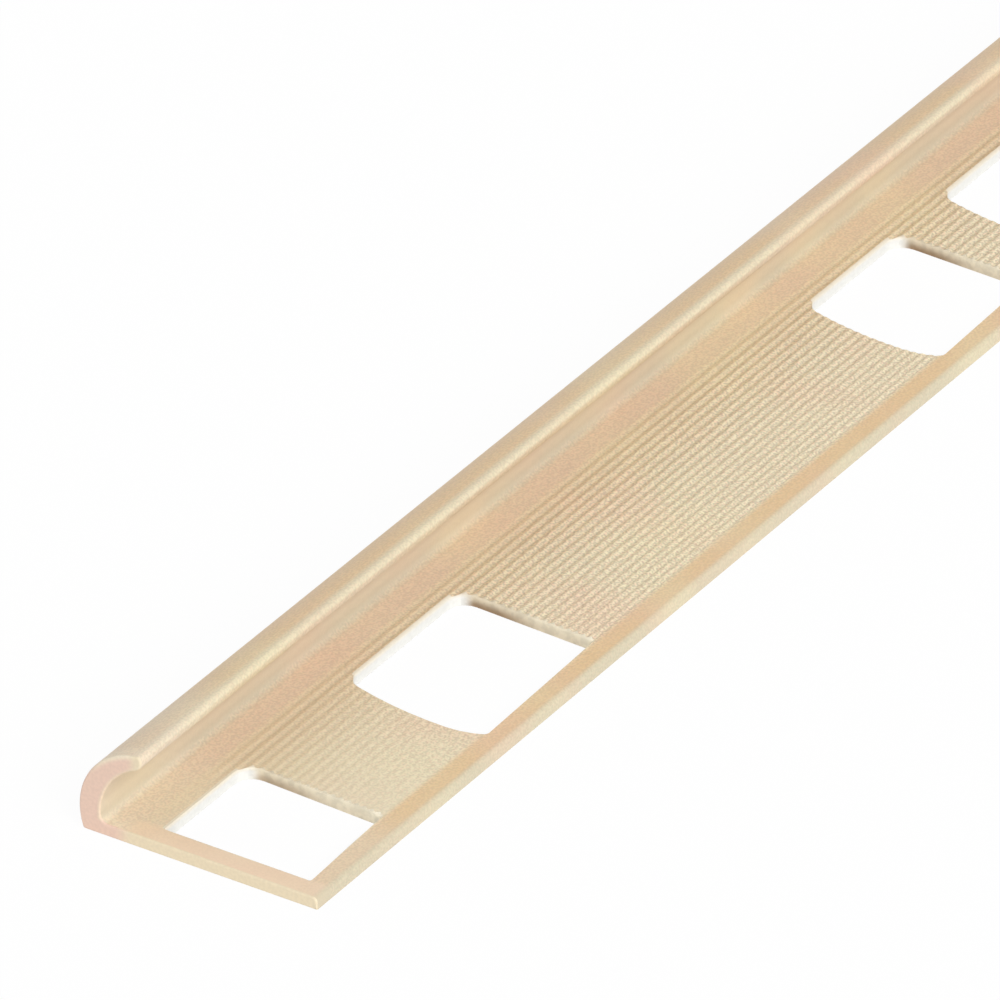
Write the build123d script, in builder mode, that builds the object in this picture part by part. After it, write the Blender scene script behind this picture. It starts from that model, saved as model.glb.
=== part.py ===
from build123d import *
import os

# One length of open quadrant tile trim, an extruded PVC strip, in millimetres.
# A rounded bead covers the tile's edge, and a flat punched leg is bedded in the tile adhesive.
# X runs along the strip, the bead is on the +Y side, and the leg's underside lies on Z = 0.

# Stock
trim_length = 2500.0
trim_width = 24.5
leg_thickness = 1.2

# Bead: the wall is thickest at its foot and thins towards the lip that hangs over the leg.
# The crown of its outer circle lies just past the lip's rounded tip.
bead_crown = 9.2
bead_radius = 6.9
bead_wall = 2.15
hollow_radius = 6.2
lip_wall = 1.0
lip_reach = 6.5

# Rounded corners of the section
foot_fillet = 0.8
lip_rounding = 0.5
bead_heel_rounding = 0.25
leg_edge_rounding = 0.3

# Punched holes: a row of four along the leg, which repeats along the strip
hole_width = 15.0
outer_margin = 2.0
short_hole = 12.7
long_hole = 19.7
middle_hole = 17.5
end_border = 2.1
wide_web = 14.25
plain_stretch = 56.65
narrow_web = 6.3
row_tail = 9.5

# Sides of the holes: the leading side of a swept hole bows forward, and both its ends curve back
lead_foremost = 3.6
lead_bead_sweep = 1.9
lead_outer_sweep = 1.0
trailing_lean = 0.7
outer_lean = 0.45

# Corners of the holes
bead_side_corner = 1.2
sharp_corner = 0.4

half_width = trim_width / 2
lip_tip = half_width - lip_reach
bead_centre = (half_width - bead_radius, bead_crown - bead_radius)
hollow_centre = (half_width - bead_wall - hollow_radius, bead_crown - lip_wall - hollow_radius)

short_start = end_border
long_start = short_start + short_hole + wide_web
first_middle_start = long_start + long_hole + plain_stretch
second_middle_start = first_middle_start + middle_hole + narrow_web
row_pitch = second_middle_start + middle_hole + row_tail
row_count = int(trim_length // row_pitch)


def trailing_corners(length):
    """The two far corners of a hole: beside the leg's outer edge, and beside the bead."""
    return (length - trailing_lean, outer_lean), (length, hole_width)


def round_corner(outline, corner, radius):
    """Round the outline's corner at this point."""
    fillet(outline.vertices().sort_by_distance(corner)[0], radius)


def square_outline(length):
    """A hole with a straight leading side, which lies on X = 0, and its outer side near Y = 0."""
    outer_end, bead_end = trailing_corners(length)
    with BuildSketch() as outline:
        with BuildLine():
            Polyline((0, hole_width), (0, 0), outer_end, bead_end, close=True)
        make_face()
        round_corner(outline, bead_end, bead_side_corner)
        for corner in ((0, hole_width), (0, 0), outer_end):
            round_corner(outline, corner, sharp_corner)
    return outline.sketch


def swept_outline(length):
    """A hole whose leading side is bowed: its foremost point is on X = 0, and its outer side near Y = 0."""
    outer_end, bead_end = trailing_corners(length)
    foremost = (0, lead_foremost)
    lead_bead = (lead_bead_sweep, hole_width)
    lead_outer = (lead_outer_sweep, 0)
    with BuildSketch() as outline:
        with BuildLine():
            Polyline(lead_outer, outer_end, bead_end, lead_bead)
            TangentArc(foremost, lead_bead, tangent=(0, 1))
            TangentArc(foremost, lead_outer, tangent=(0, -1))
        make_face()
        for corner in (bead_end, lead_bead):
            round_corner(outline, corner, bead_side_corner)
        for corner in (lead_outer, outer_end):
            round_corner(outline, corner, sharp_corner)
    return outline.sketch


def along_the_leg(start):
    """Where the hole that begins this far into each row goes, for all rows."""
    outer_side = -half_width + outer_margin
    return [(-trim_length / 2 + row * row_pitch + start, outer_side) for row in range(row_count)]


short_outline = square_outline(short_hole)
long_outline = swept_outline(long_hole)
middle_outline = swept_outline(middle_hole)

with BuildPart() as tile_trim:
    # The section: a crescent of wall for the bead, and a thin strip for the leg
    with BuildSketch(Plane.YZ) as section:
        with Locations(bead_centre):
            Circle(bead_radius)
        with Locations(hollow_centre):
            Circle(hollow_radius, mode=Mode.SUBTRACT)
        with Locations((lip_tip, 0)):
            Rectangle(lip_reach, bead_crown, align=(Align.MIN, Align.MIN), mode=Mode.INTERSECT)
        with Locations((-half_width, 0)):
            Rectangle(trim_width - bead_wall, leg_thickness, align=(Align.MIN, Align.MIN))

        inner_foot = section.vertices().sort_by_distance((half_width - bead_wall, leg_thickness))[0]
        fillet(inner_foot, foot_fillet)
        lip_corners = section.vertices().sort_by_distance((lip_tip, bead_crown - lip_wall))[:2]
        fillet(lip_corners, lip_rounding)
        bead_heel = section.vertices().group_by(Axis.Y)[0].sort_by(Axis.X)[-1]
        fillet(bead_heel, bead_heel_rounding)
        leg_edge = section.vertices().group_by(Axis.X)[0].sort_by(Axis.Y)[-1]
        fillet(leg_edge, leg_edge_rounding)
    extrude(amount=trim_length / 2, both=True)

    # The rows of holes that the adhesive keys into
    with BuildSketch(Plane.XY):
        with Locations(*along_the_leg(short_start)):
            add(short_outline)
        with Locations(*along_the_leg(long_start)):
            add(long_outline)
        with Locations(*along_the_leg(first_middle_start), *along_the_leg(second_middle_start)):
            add(middle_outline)
    extrude(amount=leg_thickness, mode=Mode.SUBTRACT)

tile_trim.part.label = "tile_trim"
os.makedirs("parts", exist_ok=True)
export_step(tile_trim.part, "parts/tile_trim.step")
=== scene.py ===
import math

import bmesh
import bpy
from bpy.props import FloatProperty, FloatVectorProperty, IntProperty, PointerProperty
from bpy.types import Operator, Panel, PropertyGroup
from mathutils import Color, Matrix, Vector


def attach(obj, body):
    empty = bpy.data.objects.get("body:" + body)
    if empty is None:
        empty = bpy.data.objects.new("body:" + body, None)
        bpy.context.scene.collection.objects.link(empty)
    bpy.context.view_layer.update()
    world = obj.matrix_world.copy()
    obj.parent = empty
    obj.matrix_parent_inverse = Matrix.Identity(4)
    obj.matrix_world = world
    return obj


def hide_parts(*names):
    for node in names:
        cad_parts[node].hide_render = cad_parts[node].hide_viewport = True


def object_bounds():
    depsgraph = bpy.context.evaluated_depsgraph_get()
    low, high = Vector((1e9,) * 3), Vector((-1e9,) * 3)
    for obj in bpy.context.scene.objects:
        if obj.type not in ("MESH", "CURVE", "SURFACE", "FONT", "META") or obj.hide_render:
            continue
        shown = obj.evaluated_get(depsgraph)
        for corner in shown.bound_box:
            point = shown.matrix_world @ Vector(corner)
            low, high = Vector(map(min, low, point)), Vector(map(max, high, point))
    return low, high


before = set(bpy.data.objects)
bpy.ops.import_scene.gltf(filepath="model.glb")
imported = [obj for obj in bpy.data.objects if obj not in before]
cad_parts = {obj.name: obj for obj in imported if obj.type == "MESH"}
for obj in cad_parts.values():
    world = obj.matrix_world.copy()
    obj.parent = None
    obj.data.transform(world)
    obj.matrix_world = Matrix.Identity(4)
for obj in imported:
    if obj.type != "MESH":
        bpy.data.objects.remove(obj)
cad_low, cad_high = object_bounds()
cad_size = cad_high - cad_low

bl_info = {
    "name": "PVC Tile Trim",
    "version": (1, 0, 0),
    "blender": (4, 5, 0),
    "location": "View3D > Sidebar > Tile Trim",
    "description": "Models a length of beige quadrant tile trim with a ribbed, punched leg",
    "category": "Add Mesh",
}

MM = 0.001
WELD_DISTANCE = 0.001 * MM
QUARTER_TURN = math.pi / 2


# Settings

def length(name, description, millimetres):
    """A length that a user may change, written in millimetres and held in metres."""
    return FloatProperty(
        name=name, description=description, default=millimetres * MM, min=0.0, unit="LENGTH", precision=5
    )


def colour(name, description, red, green, blue):
    """A colour as it shows on a screen, each channel from 0 to 255."""
    return FloatVectorProperty(
        name=name, description=description, subtype="COLOR_GAMMA", size=3, min=0.0, max=1.0,
        default=(red / 255, green / 255, blue / 255),
    )


def share(name, description, value):
    """A factor between 0 and 1."""
    return FloatProperty(
        name=name, description=description, default=value, min=0.0, max=1.0, subtype="FACTOR"
    )


def angle(name, description, degrees):
    """An angle, written in degrees and held in radians."""
    return FloatProperty(
        name=name, description=description, default=math.radians(degrees), subtype="ANGLE"
    )


def light_strength(name, description, value):
    """The strength of a light."""
    return FloatProperty(name=name, description=description, default=value, min=0.0)


class SectionSizes(PropertyGroup):
    """The strip's cross section: X runs along it, and the bead is on the +Y side."""
    strip_length: length("Strip length", "Length of the stock", cad_size.x / MM)
    width: length("Width", "From the leg's outer edge to the back of the bead", cad_size.y / MM)
    leg_thickness: length("Leg thickness", "Thickness of the flat leg", 1.2)
    bead_crown: length("Bead crown", "Top of the bead's outer circle above the floor", 9.2)
    bead_radius: length("Bead radius", "Radius of the bead's outer face", 6.9)
    bead_wall: length("Bead wall", "Thickness of the bead at its foot", 2.15)
    hollow_radius: length("Hollow radius", "Radius of the bead's inner face", 6.2)
    lip_wall: length("Lip wall", "Thickness of the bead at its crown", 1.0)
    lip_reach: length("Lip reach", "From the back of the bead to the lip's tip", 6.5)
    foot_fillet: length("Foot fillet", "Fillet between the leg and the bead's inner face", 0.8)
    lip_rounding: length("Lip rounding", "Rounding of the lip's upper corner", 0.5)
    lip_under_rounding: length("Lip under rounding", "Rounding of the lip's lower corner", 0.85)
    heel_rounding: length("Heel rounding", "Rounding under the back of the bead", 0.25)
    edge_rounding: length("Edge rounding", "Rounding of the leg's outer upper edge", 0.5)
    end_rounding: length("End rounding", "Rounding around the two sawn ends", 0.18)


class RibSizes(PropertyGroup):
    """The fine ribs along the leg's upper side, which close up towards its outer edge, and their wear."""
    count: IntProperty(
        name="Grooves", description="Number of grooves between the ribs", default=19, min=2
    )
    margin: length("Margin", "From the back of the bead to the first groove", 5.73)
    first_pitch: length("First pitch", "Distance between the grooves beside the bead", 0.98)
    last_pitch: length("Last pitch", "Distance between the grooves beside the outer edge", 0.713)
    first_depth: length("First depth", "Depth of the grooves beside the bead", 0.14)
    last_depth: length("Last depth", "Depth of the grooves beside the outer edge", 0.095)
    first_share: share("First share", "Depth of the first groove as a share of the next ones", 0.65)
    web_inner: share("Web inner", "Share of depth left beside the bead, between the first two holes", 0.5)
    web_outer: share("Web outer", "Share of depth left at the outer edge, between those holes", 0.15)
    long_inner: share("Long inner", "Share of depth left beside the bead, alongside the second hole", 0.9)
    long_outer: share("Long outer", "Share of depth left at the outer edge, alongside that hole", 0.7)


class HoleSizes(PropertyGroup):
    """The punched holes: a row of four along the leg, which repeats along the strip."""
    width: length("Width", "Size of each hole across the leg", 15.0)
    outer_margin: length("Outer margin", "From the leg's outer edge to the holes", 2.0)
    short: length("Short hole", "Length of the first hole of a row", 12.7)
    long: length("Long hole", "Length of the second hole of a row", 19.7)
    middle: length("Middle hole", "Length of the third and fourth holes of a row", 17.5)
    end_border: length("End border", "From the start of a row to its first hole", 2.1)
    wide_web: length("Wide web", "Between the first and second holes", 14.25)
    plain_stretch: length("Plain stretch", "Between the second and third holes", 56.65)
    narrow_web: length("Narrow web", "Between the third and fourth holes", 6.3)
    row_tail: length("Row tail", "From the fourth hole to the end of the row", 9.5)
    lead_foremost: length("Lead foremost", "From the outer side to a bowed side's foremost point", 3.6)
    lead_bead_sweep: length("Lead bead sweep", "How far that side curves back towards the bead", 1.9)
    lead_outer_sweep: length("Lead outer sweep", "How far that side curves back at its outer end", 1.0)
    trailing_lean: length("Trailing lean", "How far a hole's far side leans", 0.7)
    outer_lean: length("Outer lean", "How far a hole's outer side leans", 0.45)
    bead_side_corner: length("Bead side corner", "Rounding of the leading corner beside the bead", 1.2)
    trailing_corner: length("Trailing corner", "Rounding of the trailing corner beside the bead", 1.9)
    sharp_corner: length("Sharp corner", "Rounding of the other corners", 0.15)
    rim: length("Rim", "Rounding that the punch leaves on the upper rim of a hole", 0.25)
    rim_lean: share("Rim lean", "Share of its width that a rim shifts to the bead and the far end", 0.75)


class FinishColours(PropertyGroup):
    """The colours of the plastic over the strip, and how rough its faces are."""
    bead_beige: colour("Bead beige", "Outside of the bead and the leg's outer border", 225, 193, 148)
    # Painted highlight on the lip's upper front and painted shade on its lower front, under the nose
    lip_highlight_beige: colour("Lip beige", "Upper part of the lip's front", 220, 207, 177)
    lip_shade_tan: colour("Lip tan", "Lower part of the lip's front", 208, 186, 157)
    # Painted shadow on the inside of the bead under the lip
    under_lip_shadow_tan: colour("Hollow tan", "Inside of the bead under the lip", 211, 194, 170)
    hollow_beige: colour("Hollow beige", "Inside of the bead above its foot", 217, 202, 178)
    # Painted shade in the fillet at the foot of the bead's inside
    foot_shade_beige: colour("Foot beige", "Foot of the bead's inside", 196, 184, 161)
    band_beige: colour("Band beige", "Smooth band of the leg beside the bead", 220, 198, 175)
    rib_tan: colour("Rib tan", "Ribs beside the bead", 223, 204, 173)
    rib_cream: colour("Rib cream", "Ribs away from the bead", 231, 218, 187)
    edge_cream: colour("Edge cream", "Outer edge of the leg", 203, 193, 166)
    border_pink: colour("Border pink", "Leg between the near end and the first hole", 237, 213, 184)
    end_pale: colour("End pale", "Pale tint of the strip towards its near end", 227, 213, 192)
    # End cream also paints the highlight along the sawn crown
    end_cream: colour("End cream", "Tint of the strip at its very end and of the sawn crown", 238, 224, 198)
    pink_tint: colour("Pink tint", "Warm clouds and flecks in the plastic", 230, 192, 166)
    yellow_tint: colour("Yellow tint", "Pale clouds and flecks in the plastic", 230, 220, 180)
    punched_white: colour("Punched white", "Foot of the walls along a punched hole", 227, 227, 223)
    rim_cream: colour("Rim cream", "Upper rim of the walls along a punched hole", 231, 222, 203)
    torn_cream: colour("Torn cream", "Walls across a punched hole", 237, 228, 204)
    # Painted light on the walls towards the outer side of a hole, which lie in shade
    outer_painted_light: colour("Torn pale", "Walls towards the outer side of a punched hole", 250, 242, 220)
    # Painted shadow at the foot of the torn walls beside the bead
    foot_shadow_brown: colour("Torn brown", "Foot of those walls beside the bead", 152, 126, 96)
    cut_pink: colour("Cut pink", "Sawn end of the bead", 228, 197, 178)
    cut_cream: colour("Cut cream", "Sawn end of the leg and the lip", 230, 214, 183)
    # Groove shade sets the painted shade at the bottoms of the grooves
    groove_shade: share("Groove shade", "Brightness of the bottoms of the grooves", 0.88)
    roughness: share("Roughness", "Roughness of the satin plastic", 0.45)
    sheared_roughness: share("Sheared roughness", "Roughness of the walls along a punched hole", 0.55)
    torn_roughness: share("Torn roughness", "Roughness of the walls across a punched hole", 0.6)
    sawn_roughness: share("Sawn roughness", "Roughness of the two sawn ends", 0.5)


class StageSettings(PropertyGroup):
    """The camera, the light and the floor."""
    heading: angle("Camera heading", "Direction the camera looks in, turned from +X", 32.766)
    tilt: angle("Camera tilt", "How far the camera looks down", 31.425)
    distance: length("Camera distance", "From the camera to the point it looks at", 1296.22)
    lens: FloatProperty(
        name="Lens", description="Focal length of the camera's lens in millimetres",
        default=521.96, max=5000.0, unit="CAMERA",
    )
    aim_along: length("Aim along", "From the near end to the point the camera looks at", 65.065)
    aim_across: length("Aim across", "From the middle line to that point, on the bead's side", 10.993)
    sky: light_strength("Sky", "Strength of the even light from all round", 0.5)
    key: light_strength("Key light", "Strength of the soft lamp in front of the leg", 2.17)
    key_heading: angle("Key heading", "Direction that lamp stands in, turned from +X", -120)
    fill: light_strength("Fill light", "Strength of the soft lamp behind the bead", 0.25)
    fill_heading: angle("Fill heading", "Direction that lamp stands in, turned from +X", 90)
    lamp_height: angle("Lamp height", "Angle of both soft lamps above the floor", 35)
    softness: angle("Softness", "Angle that each soft lamp fills", 40)
    floor_size: FloatProperty(
        name="Floor size", description="Side of the square floor", default=400.0, unit="LENGTH",
    )
    floor_shadow: share("Floor shadow", "How much of the floor's own shade shows in its white", 0.05)


# Drawing and selecting

class OutlinePen:
    """Draws a flat outline in edit mode, one stretch after another, and fills it with a face."""

    def __init__(self, name, start, normal):
        bpy.ops.object.select_all(action="DESELECT")
        bpy.ops.mesh.primitive_plane_add(size=MM)
        self.piece = bpy.context.object
        self.piece.name = name
        self.start = Vector(start)
        self.tip = Vector(start)
        self.normal = Vector(normal)
        bpy.ops.object.mode_set(mode="EDIT")
        bpy.ops.mesh.merge(type="CENTER")
        bpy.ops.transform.translate(value=self.tip)

    def line_to(self, point):
        """A straight stretch to this point."""
        step = Vector(point) - self.tip
        bpy.ops.mesh.extrude_vertices_move(TRANSFORM_OT_translate={"value": step})
        self.tip = Vector(point)

    def arc(self, centre, turn, steps):
        """A round stretch about this centre, anticlockwise where the turn is positive."""
        bpy.ops.mesh.spin(steps=steps, angle=-turn, center=centre, axis=self.normal)
        self.tip = centre + Matrix.Rotation(turn, 3, self.normal) @ (self.tip - centre)

    def close(self):
        """A straight stretch back to the start, and a face inside the outline."""
        self.line_to(self.start)
        bpy.ops.mesh.select_all(action="SELECT")
        bpy.ops.mesh.remove_doubles(threshold=WELD_DISTANCE)
        bpy.ops.mesh.edge_face_add()
        return self.piece


def select_vertices(piece, chosen):
    """Select the vertices whose place passes the test, in edit mode."""
    bpy.ops.mesh.select_mode(type="VERT")
    bpy.ops.mesh.select_all(action="DESELECT")
    edit_mesh = bmesh.from_edit_mesh(piece.data)
    for vertex in edit_mesh.verts:
        vertex.select = chosen(vertex.co)
    edit_mesh.select_flush(True)
    bmesh.update_edit_mesh(piece.data)


def select_faces(piece, chosen):
    """Select the faces whose middle and normal pass the test, in edit mode."""
    bpy.ops.mesh.select_mode(type="FACE")
    bpy.ops.mesh.select_all(action="DESELECT")
    edit_mesh = bmesh.from_edit_mesh(piece.data)
    for face in edit_mesh.faces:
        face.select = chosen(face.calc_center_median(), face.normal)
    bmesh.update_edit_mesh(piece.data)


def make_active(piece):
    """Select this piece alone, so that the next operator works on it."""
    bpy.ops.object.select_all(action="DESELECT")
    piece.select_set(True)
    bpy.context.view_layer.objects.active = piece


def apply_modifier(piece, kind, **settings):
    """Add a modifier with these settings to the piece and apply it."""
    make_active(piece)
    bpy.ops.object.modifier_add(type=kind)
    modifier = piece.modifiers[-1]
    for name, value in settings.items():
        setattr(modifier, name, value)
    bpy.ops.object.modifier_apply(modifier=modifier.name)


def move(step):
    """Move what is selected in edit mode."""
    bpy.ops.transform.translate(value=step)


def extrude(step):
    """Extrude what is selected in edit mode."""
    bpy.ops.mesh.extrude_region_move(TRANSFORM_OT_translate={"value": step})


# Section of the strip

def point_beside(centre, reach, height):
    """The point at this height that lies this far from the centre, on its +Y side."""
    return Vector((0, centre.y + math.sqrt(reach**2 - (height - centre.z) ** 2), height))


def point_above(centre, reach, across):
    """The point at this place across that lies this far from the centre, above it."""
    return Vector((0, across, centre.z + math.sqrt(reach**2 - (across - centre.y) ** 2)))


def bearing(centre, point):
    """The direction from the centre to the point in the section, turned from +Y towards +Z."""
    return math.atan2(point.z - centre.z, point.y - centre.y)


def round_profile(radius, last_turn, steps):
    """How far sideways and how high each step of a rounded edge lies from its foot."""
    turns = [last_turn * step / steps for step in range(steps + 1)]
    return [(radius * (1 - math.cos(turn)), radius * math.sin(turn)) for turn in turns]


def groove_places(section, ribs):
    """Where the middle of each groove lies across the leg, with its pitch and its depth."""
    across = section.width / 2 - ribs.margin
    places = []
    for groove in range(ribs.count):
        outwards = groove / (ribs.count - 1)
        pitch = ribs.first_pitch + (ribs.last_pitch - ribs.first_pitch) * outwards**2
        depth = ribs.first_depth + (ribs.last_depth - ribs.first_depth) * outwards
        if groove == 0:
            depth *= ribs.first_share
        places.append((across, pitch, depth))
        across -= pitch
    return places


def draw_grooves(pen, section, ribs):
    """Draw the ribbed part of the leg's upper side as waves, from the bead towards the outer edge."""
    points_per_groove = 6
    for across, pitch, depth in groove_places(section, ribs):
        for point in range(points_per_groove):
            phase = point / points_per_groove
            drop = depth * (1 - math.cos(2 * math.pi * phase)) / 2
            pen.line_to((0, across + pitch * (0.5 - phase), section.leg_thickness - drop))


def bead_centres(section):
    """Centres of the bead's outer and inner faces."""
    back = section.width / 2
    outer = Vector((0, back - section.bead_radius, section.bead_crown - section.bead_radius))
    inner = Vector((
        0,
        back - section.bead_wall - section.hollow_radius,
        section.bead_crown - section.lip_wall - section.hollow_radius,
    ))
    return outer, inner


def draw_section(section, ribs):
    """The filled section of the strip, standing on X = 0."""
    half_width = section.width / 2
    lip_tip = half_width - section.lip_reach
    bead, hollow = bead_centres(section)

    # Centres of the small rounded corners
    heel = point_beside(bead, section.bead_radius - section.heel_rounding, section.heel_rounding)
    lip_top = point_above(
        bead, section.bead_radius - section.lip_rounding, lip_tip + section.lip_rounding
    )
    lip_under = point_above(
        hollow, section.hollow_radius + section.lip_under_rounding, lip_tip + section.lip_under_rounding
    )
    foot = point_beside(
        hollow, section.hollow_radius - section.foot_fillet, section.leg_thickness + section.foot_fillet
    )
    edge = Vector((0, section.edge_rounding - half_width, section.leg_thickness - section.edge_rounding))

    heel_end = bearing(bead, heel)
    crown_end = bearing(bead, lip_top)
    hollow_start = bearing(hollow, lip_under)
    hollow_end = bearing(hollow, foot)

    pen = OutlinePen("trim_strip", (0, heel.y, 0), normal=(1, 0, 0))
    pen.arc(heel, QUARTER_TURN + heel_end, steps=4)
    pen.arc(bead, crown_end - heel_end, steps=36)
    pen.arc(lip_top, math.pi - crown_end, steps=8)
    pen.line_to((0, lip_tip, lip_under.z))
    pen.arc(lip_under, hollow_start, steps=6)
    pen.arc(hollow, hollow_end - hollow_start, steps=20)
    pen.arc(foot, -QUARTER_TURN - hollow_end, steps=6)
    draw_grooves(pen, section, ribs)
    pen.line_to((0, edge.y, section.leg_thickness))
    pen.arc(edge, QUARTER_TURN, steps=5)
    pen.line_to((0, -half_width, 0))
    return pen.close()


# Punched holes

def hole_starts(holes):
    """Where each hole begins in a row, its length, and whether its leading side is swept."""
    first = holes.end_border
    second = first + holes.short + holes.wide_web
    third = second + holes.long + holes.plain_stretch
    fourth = third + holes.middle + holes.narrow_web
    return (
        (first, holes.short, False),
        (second, holes.long, True),
        (third, holes.middle, True),
        (fourth, holes.middle, True),
    )


def row_pitch(holes):
    """Length of one row of holes."""
    last_start, last_length, _ = hole_starts(holes)[-1]
    return last_start + last_length + holes.row_tail


def bow_radius(sweep, run):
    """Radius of an arc that curves back by this sweep over this run."""
    return (sweep**2 + run**2) / (2 * sweep)


def draw_hole(section, holes, start, size, swept, spread):
    """The filled outline of one hole on the floor, grown by this spread, with its corners rounded."""
    origin = Vector((start - spread, holes.outer_margin - section.width / 2 - spread, 0))
    along = size + 2 * spread
    across = holes.width + 2 * spread
    bead_sweep = holes.lead_bead_sweep if swept else 0.0
    outer_sweep = holes.lead_outer_sweep if swept else 0.0
    lead_bead = origin + Vector((bead_sweep, across, 0))
    lead_outer = origin + Vector((outer_sweep, 0, 0))
    outer_end = origin + Vector((along - holes.trailing_lean, holes.outer_lean, 0))
    bead_end = origin + Vector((along, across, 0))

    pen = OutlinePen("hole_punch", lead_bead, normal=(0, 0, 1))
    if swept:
        foremost = holes.lead_foremost + spread
        for sweep, run, steps in ((bead_sweep, across - foremost, 6), (outer_sweep, foremost, 3)):
            centre = origin + Vector((bow_radius(sweep, run), foremost, 0))
            pen.arc(centre, 2 * math.atan(sweep / run), steps)
    else:
        pen.line_to(lead_outer)
    pen.line_to(outer_end)
    pen.line_to(bead_end)
    punch = pen.close()

    corners = (
        (lead_bead, holes.bead_side_corner if swept else holes.sharp_corner),
        (lead_outer, holes.sharp_corner),
        (outer_end, holes.sharp_corner),
        (bead_end, holes.trailing_corner),
    )
    for corner, rounding in corners:
        select_vertices(punch, lambda place: (place - corner).length < WELD_DISTANCE)
        bpy.ops.mesh.bevel(offset=rounding + spread, segments=6, affect="VERTICES")
    return punch


def rim_profile(rim):
    """How far out and how high each step of a rim lies, from the wall to just past the leg's top."""
    last_turn = math.radians(72)
    profile = round_profile(rim, last_turn, steps=4)
    outwards, height = profile[-1]
    overrun = rim / 4
    profile.append((outwards + overrun * math.tan(last_turn), height + overrun))
    return profile


def make_punch(section, holes, start, size, swept):
    """A solid that cuts one hole and is wider at the top, which leaves the hole's upper rim rounded."""
    overshoot = section.leg_thickness
    rim_foot = section.leg_thickness - holes.rim
    *lower_steps, (spread, height) = rim_profile(holes.rim)
    punch = draw_hole(section, holes, start, size, swept, spread)
    bpy.ops.mesh.select_all(action="SELECT")
    lean = holes.rim_lean * spread
    move((lean, lean, rim_foot + height + overshoot))
    extrude((0, 0, -overshoot))
    for step_spread, step_height in reversed(lower_steps):
        bpy.ops.mesh.inset(thickness=spread - step_spread)
        lean = holes.rim_lean * (step_spread - spread)
        move((lean, lean, step_height - height))
        spread = step_spread
        height = step_height
    extrude((0, 0, -rim_foot - overshoot))
    bpy.ops.mesh.select_all(action="SELECT")
    bpy.ops.mesh.normals_make_consistent(inside=False)
    bpy.ops.object.mode_set(mode="OBJECT")
    return punch


def punch_row(strip, section, holes, sheared, torn):
    """Cut the four holes of one row out of the strip's leg, with torn walls across the strip."""
    punches = []
    for start, size, swept in hole_starts(holes):
        punches.append(make_punch(section, holes, start, size, swept))
    make_active(punches[0])
    for punch in punches:
        punch.select_set(True)
    bpy.ops.object.join()
    punch = punches[0]
    punch.data.materials.append(sheared)
    punch.data.materials.append(torn)
    bpy.ops.object.mode_set(mode="EDIT")
    select_faces(punch, lambda middle, normal: abs(normal.x) > abs(normal.y))
    punch.active_material_index = punch.data.materials.find(torn.name)
    bpy.ops.object.material_slot_assign()
    bpy.ops.object.mode_set(mode="OBJECT")
    apply_modifier(
        strip, "BOOLEAN", operation="DIFFERENCE", solver="EXACT", object=punch, material_mode="TRANSFER"
    )
    make_active(punch)
    bpy.ops.object.delete()


# Whole strip

def repeat_row(strip, section, holes):
    """Open both ends of the row, repeat it along the strip and close the strip's own ends."""
    pitch = row_pitch(holes)
    rows = int(section.strip_length // pitch)
    tail = section.strip_length - rows * pitch
    make_active(strip)
    bpy.ops.object.mode_set(mode="EDIT")
    select_faces(strip, lambda middle, normal: min(abs(middle.x), abs(middle.x - pitch)) < WELD_DISTANCE)
    bpy.ops.mesh.delete(type="FACE")
    bpy.ops.object.mode_set(mode="OBJECT")
    apply_modifier(
        strip, "ARRAY", count=rows, use_relative_offset=False, use_constant_offset=True,
        constant_offset_displace=(pitch, 0, 0), use_merge_vertices=True, merge_threshold=WELD_DISTANCE,
    )
    bpy.ops.object.mode_set(mode="EDIT")
    select_vertices(strip, lambda place: place.x > rows * pitch - WELD_DISTANCE)
    extrude((tail, 0, 0))
    bpy.ops.mesh.edge_face_add()
    select_vertices(strip, lambda place: place.x < WELD_DISTANCE)
    bpy.ops.mesh.edge_face_add()


def wear_ribs(strip, section, ribs, holes):
    """Flatten the ribs on the near end's border and leave them shallow as far as the long hole."""
    flat_to = holes.end_border + 0.6 * holes.short
    web_from = holes.end_border + 0.9 * holes.short
    beside_long = web_from + holes.wide_web + 0.5 * holes.long
    past_long = beside_long + holes.long
    deepest = section.leg_thickness - max(ribs.first_depth, ribs.last_depth) - WELD_DISTANCE
    for place_along in (flat_to, web_from, beside_long, past_long):
        bpy.ops.mesh.select_all(action="SELECT")
        bpy.ops.mesh.bisect(plane_co=(place_along, 0, 0), plane_no=(1, 0, 0), threshold=WELD_DISTANCE)
    stretches = (
        (0, web_from, 0.0, 0.0),
        (web_from, beside_long, ribs.web_inner, ribs.web_outer),
        (beside_long, past_long, ribs.long_inner, ribs.long_outer),
    )
    for start, end, left_inside, left_outside in stretches:
        for groove, (across, pitch, _) in enumerate(groove_places(section, ribs)):
            outwards = groove / (ribs.count - 1)
            left = left_inside + (left_outside - left_inside) * outwards
            select_vertices(
                strip,
                lambda place: start - WELD_DISTANCE < place.x < end - WELD_DISTANCE
                and abs(place.y - across) < pitch / 2
                and deepest < place.z < section.leg_thickness,
            )
            bpy.ops.transform.resize(value=(1, 1, left), center_override=(0, 0, section.leg_thickness))


def finish_ends(strip, section):
    """Give each sawn end its own finish and a rounded edge."""
    for end, inwards in ((0, 1), (section.strip_length, -1)):
        select_faces(strip, lambda middle, normal: abs(middle.x - end) < WELD_DISTANCE)
        strip.active_material_index = strip.data.materials.find("cut_pvc")
        bpy.ops.object.material_slot_assign()
        move((inwards * section.end_rounding, 0, 0))
        profile = round_profile(section.end_rounding, QUARTER_TURN, steps=3)
        for (spread, rise), (next_spread, next_rise) in zip(profile, profile[1:]):
            bpy.ops.mesh.inset(thickness=next_spread - spread)
            move((inwards * (rise - next_rise), 0, 0))


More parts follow.
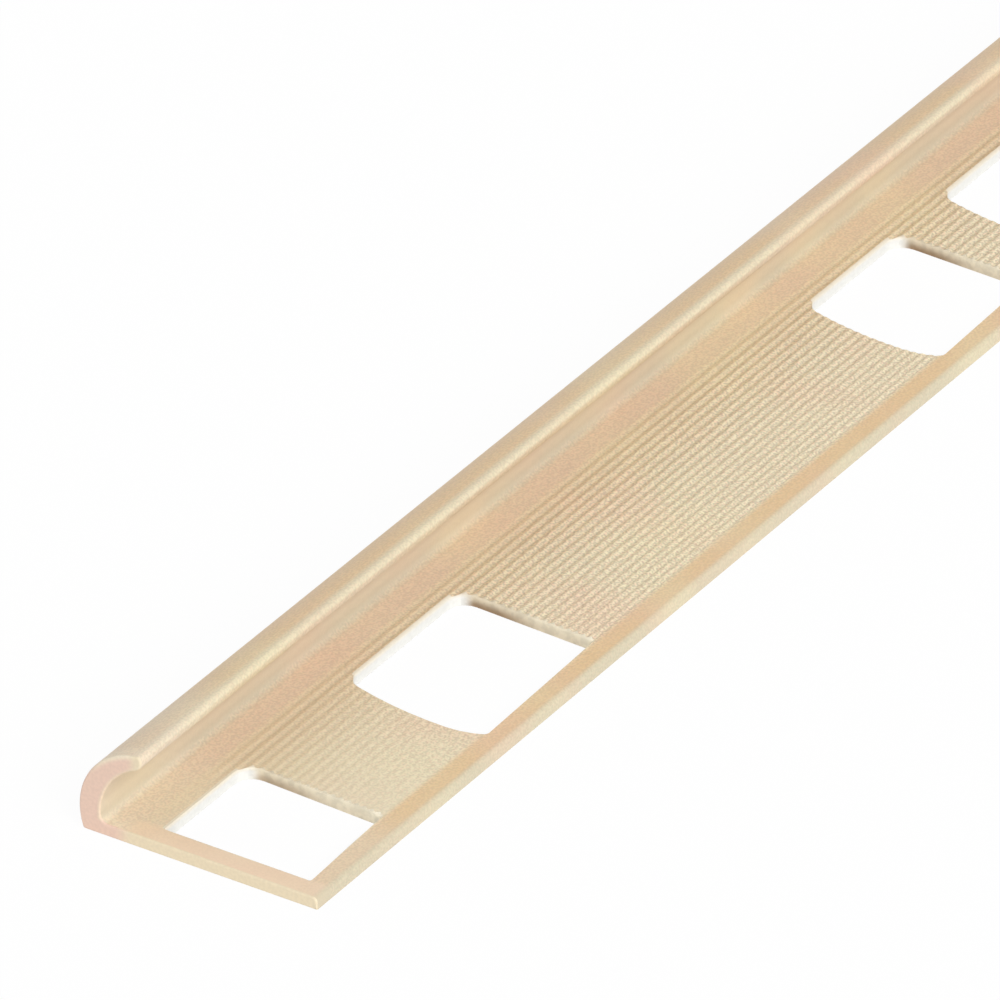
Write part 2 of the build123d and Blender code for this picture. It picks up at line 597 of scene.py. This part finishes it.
def finish_strip(strip):
    """Tidy the strip's mesh, move it to its place and smooth its faces."""
    bpy.ops.mesh.select_all(action="SELECT")
    bpy.ops.mesh.remove_doubles(threshold=WELD_DISTANCE)
    bpy.ops.mesh.normals_make_consistent(inside=False)
    move((cad_low.x, 0, 0))
    bpy.ops.object.mode_set(mode="OBJECT")
    make_active(strip)
    bpy.ops.object.shade_smooth_by_angle(angle=math.radians(35))
    apply_modifier(strip, "WEIGHTED_NORMAL", keep_sharp=True)


# Materials

def linear(shown):
    """A colour as the shader wants it, from one as it shows on a screen."""
    return (*Color(shown).from_srgb_to_scene_linear(), 1.0)


class ShaderTree:
    """A new material's nodes, added and linked one by one."""

    def __init__(self, name):
        self.material = bpy.data.materials.new(name)
        self.material.use_nodes = True
        self.tree = self.material.node_tree
        self.shader = self.tree.nodes["Principled BSDF"]

    def put(self, source, target):
        """Link an output to an input, or set the input to a plain value."""
        if isinstance(source, bpy.types.NodeSocket):
            self.tree.links.new(source, target)
        else:
            target.default_value = source

    def place(self):
        """The piece's own coordinates, in metres."""
        return self.tree.nodes.new("ShaderNodeTexCoord").outputs["Object"]

    def axes(self, place):
        """The three numbers of a place."""
        split = self.tree.nodes.new("ShaderNodeSeparateXYZ")
        self.put(place, split.inputs[0])
        return split.outputs

    def stretched(self, place, scale):
        """The place with each axis scaled."""
        mapping = self.tree.nodes.new("ShaderNodeMapping")
        self.put(place, mapping.inputs["Vector"])
        mapping.inputs["Scale"].default_value = scale
        return mapping.outputs[0]

    def noise(self, place, scale, detail):
        """Smooth random values around 0.5."""
        texture = self.tree.nodes.new("ShaderNodeTexNoise")
        self.put(place, texture.inputs["Vector"])
        texture.inputs["Scale"].default_value = scale
        texture.inputs["Detail"].default_value = detail
        return texture.outputs["Fac"]

    def ramp(self, value, start, end, low=0.0, high=1.0):
        """Carry the value smoothly from low to high between start and end."""
        span = self.tree.nodes.new("ShaderNodeMapRange")
        span.interpolation_type = "SMOOTHSTEP"
        self.put(value, span.inputs["Value"])
        span.inputs["From Min"].default_value = start
        span.inputs["From Max"].default_value = end
        span.inputs["To Min"].default_value = low
        span.inputs["To Max"].default_value = high
        return span.outputs["Result"]

    def fade(self, mask, left):
        """1 outside the mask and this much inside it."""
        return self.ramp(mask, 0.0, 1.0, low=1.0, high=left)

    def arithmetic(self, operation, first, second):
        """Two values put together by this operation."""
        maths = self.tree.nodes.new("ShaderNodeMath")
        maths.operation = operation
        self.put(first, maths.inputs[0])
        self.put(second, maths.inputs[1])
        return maths.outputs[0]

    def product(self, first, *others):
        """All the values multiplied."""
        result = first
        for other in others:
            result = self.arithmetic("MULTIPLY", result, other)
        return result

    def total(self, first, second):
        """Two values added."""
        return self.arithmetic("ADD", first, second)

    def distance(self, place, point):
        """How far the place is from a point in the section, whatever its place along the strip."""
        gap = self.tree.nodes.new("ShaderNodeVectorMath")
        gap.operation = "DISTANCE"
        self.put(self.stretched(place, (0, 1, 1)), gap.inputs[0])
        gap.inputs[1].default_value = point
        return gap.outputs["Value"]

    def blend(self, factor, first, second):
        """The second colour laid over the first by this factor."""
        mix = self.tree.nodes.new("ShaderNodeMix")
        mix.data_type = "RGBA"
        colour_inputs = [socket for socket in mix.inputs if socket.type == "RGBA"]
        self.put(factor, mix.inputs["Factor"])
        self.put(first, colour_inputs[0])
        self.put(second, colour_inputs[1])
        return next(socket for socket in mix.outputs if socket.type == "RGBA")

    def tinted(self, base, factor, shown):
        """The base colour with one as it shows on a screen laid over it by this factor."""
        return self.blend(factor, base, linear(shown))

    def brightened(self, base, factor):
        """A colour made lighter or darker by this factor."""
        scale = self.tree.nodes.new("ShaderNodeVectorMath")
        scale.operation = "SCALE"
        self.put(base, scale.inputs[0])
        self.put(factor, scale.inputs["Scale"])
        return scale.outputs["Vector"]

    def bump(self, pattern, depth):
        """Fine relief that follows this pattern."""
        relief = self.tree.nodes.new("ShaderNodeBump")
        relief.inputs["Distance"].default_value = depth
        self.put(pattern, relief.inputs["Height"])
        self.put(relief.outputs[0], self.shader.inputs["Normal"])

    def paint(self, base, roughness):
        """Give the material this colour and roughness, and hand it over."""
        self.put(base, self.shader.inputs["Base Color"])
        self.put(roughness, self.shader.inputs["Roughness"])
        return self.material


def bead_and_band(nodes, section, finish, place):
    """Colours of the bead, its hollow and the band below it, and a mask of the hollow's wall."""
    _, across, height = nodes.axes(place)
    back = section.width / 2
    leg_top = section.leg_thickness
    _, hollow = bead_centres(section)
    inside = nodes.ramp(
        nodes.distance(place, hollow), section.hollow_radius + 0.3 * MM, section.hollow_radius + 0.1 * MM
    )
    hollow_wall = nodes.product(inside, nodes.ramp(height, leg_top, leg_top + 0.6 * MM))

    # From the smooth band up the bead's foot to the part of the hollow under the lip, with painted shade in
    # the fillet at the foot and a painted shadow under the lip
    foot_start = back - section.bead_wall - section.foot_fillet
    foot = nodes.ramp(across, foot_start - 0.3 * MM, foot_start + 0.6 * MM)
    above_foot = nodes.ramp(height, leg_top + 0.2 * MM, leg_top + 1.7 * MM)
    under_lip_shadow = nodes.ramp(height, leg_top + 1.6 * MM, leg_top + 2.6 * MM)
    inner = nodes.tinted(linear(finish.band_beige), foot, finish.foot_shade_beige)
    inner = nodes.tinted(inner, above_foot, finish.hollow_beige)
    inner = nodes.tinted(inner, under_lip_shadow, finish.under_lip_shadow_tan)
    base = nodes.blend(inside, linear(finish.bead_beige), inner)

    # The lip's front, with a paler painted highlight on its upper part and painted shade on its lower part,
    # under the nose
    lip_tip = back - section.lip_reach
    lip = nodes.product(
        nodes.ramp(across, lip_tip + 1.3 * MM, lip_tip + 0.4 * MM),
        nodes.ramp(height, 0.5 * section.bead_crown, 0.7 * section.bead_crown),
    )
    lip_highlight = nodes.ramp(height, section.bead_crown - 0.65 * MM, section.bead_crown - 0.3 * MM)
    lip_highlight_and_shade = nodes.tinted(linear(finish.lip_shade_tan), lip_highlight, finish.lip_highlight_beige)
    return nodes.blend(lip, base, lip_highlight_and_shade), hollow_wall


def speckled(nodes, finish, place, base, coarseness):
    """The base colour with slow clouds and fine flecks of two tints, and a grain in its brightness."""
    for tint, scale, most in ((finish.pink_tint, 85, 0.4), (finish.yellow_tint, 65, 0.35)):
        clouds = nodes.ramp(nodes.noise(place, scale, detail=1), 0.45, 0.75, high=most)
        base = nodes.tinted(base, clouds, tint)
    for tint, scale, most in ((finish.pink_tint, 3600, 0.2), (finish.yellow_tint, 4000, 0.16)):
        flecks = nodes.ramp(nodes.noise(place, scale, detail=0), 0.4, 0.75, high=most)
        base = nodes.tinted(base, nodes.product(flecks, coarseness), tint)
    grain = nodes.ramp(nodes.noise(place, scale=4400, detail=0), 0.3, 0.7, low=-0.07, high=0.07)
    return nodes.brightened(base, nodes.total(nodes.product(grain, coarseness), 1.0))


def beige_pvc(section, ribs, holes, finish):
    """Satin extruded plastic: cream ribs with painted shade in the grooves, a paler near end and a fine
    speckle.
    """
    nodes = ShaderTree("beige_pvc")
    place = nodes.place()
    along, across, height = nodes.axes(place)
    near_end = cad_low.x
    leg_top = section.leg_thickness
    on_leg = nodes.ramp(height, 2 * leg_top, leg_top)
    base, hollow_wall = bead_and_band(nodes, section, finish, place)

    # The ribs, which pale away from the bead, and their grooves, with painted shade towards the groove
    # bottoms
    grooves = groove_places(section, ribs)
    first_groove, first_pitch, depth = grooves[0]
    last_groove, last_pitch, _ = grooves[-1]
    ribbed = nodes.product(
        on_leg,
        nodes.ramp(across, last_groove - last_pitch, last_groove),
        nodes.ramp(across, first_groove + first_pitch, first_groove),
    )
    paling = nodes.ramp(across, first_groove, first_groove - 9 * MM)
    rib_colour = nodes.tinted(linear(finish.rib_tan), paling, finish.rib_cream)
    # Painted shade: the colour darkens towards the bottom of each groove
    groove = nodes.ramp(height, leg_top - depth, leg_top, low=finish.groove_shade)
    base = nodes.blend(ribbed, base, nodes.brightened(rib_colour, groove))

    # The near end: a paler tint of the whole strip, and the leg's smooth border
    first_hole_end = near_end + holes.end_border + holes.short
    towards_end = nodes.product(
        nodes.ramp(along, first_hole_end + 2 * MM, first_hole_end - 6 * MM, high=0.5),
        nodes.fade(hollow_wall, 0.5),
    )
    base = nodes.tinted(base, towards_end, finish.end_pale)
    very_end = nodes.product(
        nodes.ramp(along, near_end + 2.5 * MM, near_end + 0.5 * MM, high=0.5),
        nodes.fade(hollow_wall, 0.0),
    )
    base = nodes.tinted(base, very_end, finish.end_cream)
    border = nodes.product(
        on_leg,
        nodes.ramp(along, near_end + 1.3 * holes.end_border, near_end + 0.8 * holes.end_border),
        nodes.ramp(across, first_groove + 2 * first_pitch, first_groove),
    )
    base = nodes.tinted(base, border, finish.border_pink)

    # The leg's outer edge
    outer_edge = -section.width / 2
    edge = nodes.ramp(across, outer_edge + 0.7 * MM, outer_edge + 0.15 * MM)
    base = nodes.tinted(base, edge, finish.edge_cream)

    # The speckle: coarse on the ribs away from the near end, faint in the hollow and on the borders
    past_end = nodes.ramp(along, near_end + holes.end_border, near_end + 50 * MM, low=-0.4, high=1.5)
    away_from_bead = nodes.ramp(across, first_groove, first_groove - 4 * first_pitch, low=0.35)
    coarseness = nodes.product(
        nodes.total(nodes.product(ribbed, away_from_bead, past_end), 1.0),
        nodes.fade(hollow_wall, 0.25),
        nodes.fade(border, 0.4),
        nodes.ramp(across, last_groove - last_pitch, last_groove - 2 * last_pitch, low=1.0, high=0.7),
        nodes.ramp(height, leg_top, leg_top + 1 * MM, low=1.0, high=0.85),
    )
    return nodes.paint(speckled(nodes, finish, place, base, coarseness), finish.roughness)


def sheared_colour(nodes, section, finish, height):
    """White at the foot of a wall and cream at its rim."""
    rim = nodes.ramp(height, 0.65 * section.leg_thickness, section.leg_thickness)
    return nodes.tinted(linear(finish.punched_white), rim, finish.rim_cream)


def sheared_pvc(section, holes, finish):
    """The smooth walls along a punched hole, white and cream, with paler painted light on the outer side,
    which lies in shade.
    """
    nodes = ShaderTree("sheared_pvc")
    place = nodes.place()
    _, across, height = nodes.axes(place)
    outer_side = holes.outer_margin - section.width / 2
    # Painted light: the outer side, which lies in shade, is painted paler
    outwards = nodes.ramp(across, outer_side + 0.5 * holes.width, outer_side + 0.2 * holes.width)
    base = nodes.tinted(sheared_colour(nodes, section, finish, height), outwards, finish.outer_painted_light)
    grain = nodes.ramp(nodes.noise(place, scale=3300, detail=0), 0.3, 0.7, low=0.98, high=1.02)
    return nodes.paint(nodes.brightened(base, grain), finish.sheared_roughness)


def torn_pvc(section, holes, finish):
    """The rougher walls across the strip: cream, with a painted brown shadow at the foot towards the bead
    and paler painted light towards the outer side.
    """
    nodes = ShaderTree("torn_pvc")
    place = nodes.place()
    along, across, height = nodes.axes(place)
    outer_side = holes.outer_margin - section.width / 2
    bead_side = outer_side + holes.width
    first_hole_end = cad_low.x + holes.end_border + holes.short
    # Painted shadow: dark brown at the foot of the walls, strongest towards the bead
    painted_foot_shadow = nodes.product(
        nodes.ramp(height, 0.9 * section.leg_thickness, 0.1 * section.leg_thickness, low=0.25),
        nodes.ramp(across, outer_side + 0.35 * holes.width, outer_side + 0.75 * holes.width, low=0.35),
        nodes.ramp(along, first_hole_end + 1 * MM, first_hole_end + 5 * MM, low=0.75),
    )
    base = nodes.tinted(linear(finish.torn_cream), painted_foot_shadow, finish.foot_shadow_brown)
    # Painted light on the outer end of the walls, which lies in the outer border's shadow
    outer_corner_painted_light = nodes.ramp(across, outer_side + 2.5 * MM, outer_side + 0.8 * MM)
    base = nodes.tinted(base, outer_corner_painted_light, finish.outer_painted_light)
    bead_corner = nodes.ramp(across, bead_side - 1.7 * MM, bead_side - 0.5 * MM)
    base = nodes.blend(bead_corner, base, sheared_colour(nodes, section, finish, height))
    tears = nodes.noise(place, scale=1400, detail=2)
    nodes.bump(tears, 0.02 * MM)
    grain = nodes.ramp(tears, 0.35, 0.65, low=0.9, high=1.06)
    return nodes.paint(nodes.brightened(base, grain), finish.torn_roughness)


def cut_pvc(section, finish):
    """Sawn plastic on the two ends: pink on the bead with a pale rim along the hollow and a painted
    highlight along the crown, cream on the lip and the leg.
    """
    nodes = ShaderTree("cut_pvc")
    place = nodes.place()
    _, across, height = nodes.axes(place)
    back = section.width / 2
    lip_tip = back - section.lip_reach
    bead, hollow = bead_centres(section)
    from_bead = nodes.distance(place, bead)
    from_hollow = nodes.distance(place, hollow)
    under_bead = nodes.ramp(across, back - 5.5 * MM, back - 3.5 * MM)
    base = nodes.tinted(linear(finish.cut_cream), under_bead, finish.cut_pink)
    above_leg = nodes.ramp(height, section.leg_thickness, section.leg_thickness + 0.5 * MM)
    base = nodes.tinted(base, above_leg, finish.cut_pink)
    hollow_rim = nodes.product(
        above_leg,
        nodes.ramp(from_hollow, section.hollow_radius + 0.4 * MM, section.hollow_radius, high=0.6),
    )
    base = nodes.tinted(base, hollow_rim, finish.cut_cream)
    # Painted highlight along the crown of the sawn bead
    crown_highlight = nodes.product(
        nodes.ramp(from_bead, section.bead_radius - 0.6 * MM, section.bead_radius),
        nodes.ramp(height, 0.6 * section.bead_crown, 0.85 * section.bead_crown),
    )
    base = nodes.tinted(base, crown_highlight, finish.end_cream)
    lip = nodes.product(above_leg, nodes.ramp(across, lip_tip + 1.6 * MM, lip_tip + 0.4 * MM))
    base = nodes.tinted(base, lip, finish.cut_cream)
    grain = nodes.ramp(nodes.noise(place, scale=3300, detail=0), 0.3, 0.7, low=0.975, high=1.025)
    return nodes.paint(nodes.brightened(base, grain), finish.sawn_roughness)


# Stage

def seen_directly(tree):
    """1 for rays from the camera and for glossy and transmitted rays, otherwise 0."""
    path = tree.nodes.new("ShaderNodeLightPath")
    seen = path.outputs["Is Camera Ray"]
    for kind in ("Is Glossy Ray", "Is Transmission Ray"):
        either = tree.nodes.new("ShaderNodeMath")
        either.operation = "MAXIMUM"
        tree.links.new(seen, either.inputs[0])
        tree.links.new(path.outputs[kind], either.inputs[1])
        seen = either.outputs[0]
    return seen


def mix_shaders(tree, factor, first, second, output):
    """Send two shaders to the tree's output, the second in the first one's place by this factor."""
    mix = tree.nodes.new("ShaderNodeMixShader")
    tree.links.new(factor, mix.inputs[0])
    tree.links.new(first.outputs[0], mix.inputs[1])
    tree.links.new(second.outputs[0], mix.inputs[2])
    tree.links.new(mix.outputs[0], tree.nodes[output].inputs["Surface"])


def white_sky(strength):
    """Even light from all round, white where it is seen."""
    world = bpy.data.worlds.new("white_sky")
    bpy.context.scene.world = world
    world.use_nodes = True
    tree = world.node_tree
    light = tree.nodes["Background"]
    light.inputs["Strength"].default_value = strength
    light.inputs["Color"].default_value = (1.0, 1.0, 1.0, 1.0)
    shown = tree.nodes.new("ShaderNodeBackground")
    shown.inputs["Color"].default_value = (1.0, 1.0, 1.0, 1.0)
    mix_shaders(tree, seen_directly(tree), light, shown, "World Output")


def white_floor(size, shadow):
    """A level white floor that keeps a faint shadow of the strip."""
    bpy.ops.object.select_all(action="DESELECT")
    bpy.ops.mesh.primitive_plane_add(size=size)
    floor = bpy.context.object
    floor.name = "studio_floor"
    material = bpy.data.materials.new("studio_white")
    material.use_nodes = True
    tree = material.node_tree
    paint = tree.nodes["Principled BSDF"]
    paint_white = 0.97
    paint.inputs["Base Color"].default_value = (paint_white, paint_white, paint_white, 1.0)
    paint.inputs["Roughness"].default_value = 1.0
    paint.inputs["Specular IOR Level"].default_value = 0.0
    glow = tree.nodes.new("ShaderNodeEmission")
    amount = tree.nodes.new("ShaderNodeMath")
    amount.operation = "MULTIPLY"
    amount.inputs[1].default_value = 1.0 - shadow
    tree.links.new(seen_directly(tree), amount.inputs[0])
    mix_shaders(tree, amount.outputs[0], paint, glow, "Material Output")
    floor.data.materials.append(material)
    return floor


def soft_lamp(name, heading, height, strength, softness):
    """A wide, soft lamp that stands in this direction and at this angle above the floor."""
    towards_lamp = Vector((
        math.cos(heading) * math.cos(height),
        math.sin(heading) * math.cos(height),
        math.sin(height),
    ))
    bpy.ops.object.light_add(type="SUN", rotation=towards_lamp.to_track_quat("Z", "Y").to_euler())
    lamp = bpy.context.object
    lamp.name = name
    lamp.data.energy = strength
    lamp.data.angle = softness


def aim_camera(stage):
    """A long lens that looks down along the strip from its near end."""
    aim = Vector((cad_low.x + stage.aim_along, stage.aim_across, 0))
    ahead = Vector((
        math.cos(stage.heading) * math.cos(stage.tilt),
        math.sin(stage.heading) * math.cos(stage.tilt),
        -math.sin(stage.tilt),
    ))
    bpy.ops.object.camera_add(
        location=aim - ahead * stage.distance,
        rotation=(QUARTER_TURN - stage.tilt, 0, stage.heading - QUARTER_TURN),
    )
    camera = bpy.context.object
    camera.data.lens = stage.lens
    bpy.context.scene.camera = camera


# Operators

class TILETRIM_OT_add_strip(Operator):
    """Model the strip: its section, its ribs and its rows of punched holes"""
    bl_idname = "tiletrim.add_strip"
    bl_label = "Add Trim Strip"

    def execute(self, context):
        section = context.scene.trim_section
        ribs = context.scene.trim_ribs
        holes = context.scene.trim_holes
        finish = context.scene.trim_finish
        skin = beige_pvc(section, ribs, holes, finish)
        sheared = sheared_pvc(section, holes, finish)
        torn = torn_pvc(section, holes, finish)
        sawn = cut_pvc(section, finish)

        strip = draw_section(section, ribs)
        extrude((row_pitch(holes), 0, 0))
        bpy.ops.mesh.select_all(action="SELECT")
        bpy.ops.mesh.normals_make_consistent(inside=False)
        bpy.ops.object.mode_set(mode="OBJECT")
        for material in (skin, sheared, torn, sawn):
            strip.data.materials.append(material)
        punch_row(strip, section, holes, sheared, torn)
        repeat_row(strip, section, holes)
        wear_ribs(strip, section, ribs, holes)
        finish_ends(strip, section)
        finish_strip(strip)
        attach(strip, "root")
        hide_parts("tile_trim")
        return {"FINISHED"}


class TILETRIM_OT_add_stage(Operator):
    """Add the white floor, the soft light and the camera"""
    bl_idname = "tiletrim.add_stage"
    bl_label = "Add Stage"

    def execute(self, context):
        stage = context.scene.trim_stage
        white_sky(stage.sky)
        white_floor(stage.floor_size, stage.floor_shadow)
        soft_lamp("key_lamp", stage.key_heading, stage.lamp_height, stage.key, stage.softness)
        soft_lamp("fill_lamp", stage.fill_heading, stage.lamp_height, stage.fill, stage.softness)
        aim_camera(stage)
        context.scene.view_settings.view_transform = "Standard"
        return {"FINISHED"}


class TILETRIM_PT_panel(Panel):
    """Lists the operators in the 3D view's sidebar"""
    bl_idname = "TILETRIM_PT_panel"
    bl_label = "Tile Trim"
    bl_space_type = "VIEW_3D"
    bl_region_type = "UI"
    bl_category = "Tile Trim"

    def draw(self, context):
        for operator in OPERATORS:
            self.layout.operator(operator.bl_idname)


SETTINGS = {
    "trim_section": SectionSizes,
    "trim_ribs": RibSizes,
    "trim_holes": HoleSizes,
    "trim_finish": FinishColours,
    "trim_stage": StageSettings,
}
OPERATORS = (TILETRIM_OT_add_strip, TILETRIM_OT_add_stage)


def register():
    for name, group in SETTINGS.items():
        bpy.utils.register_class(group)
        setattr(bpy.types.Scene, name, PointerProperty(type=group))
    for shown in (*OPERATORS, TILETRIM_PT_panel):
        bpy.utils.register_class(shown)


def unregister():
    for shown in (TILETRIM_PT_panel, *reversed(OPERATORS)):
        bpy.utils.unregister_class(shown)
    for name, group in reversed(SETTINGS.items()):
        delattr(bpy.types.Scene, name)
        bpy.utils.unregister_class(group)


def main():
    register()
    bpy.ops.tiletrim.add_strip()
    bpy.ops.tiletrim.add_stage()


if __name__ == "__main__":
    main()
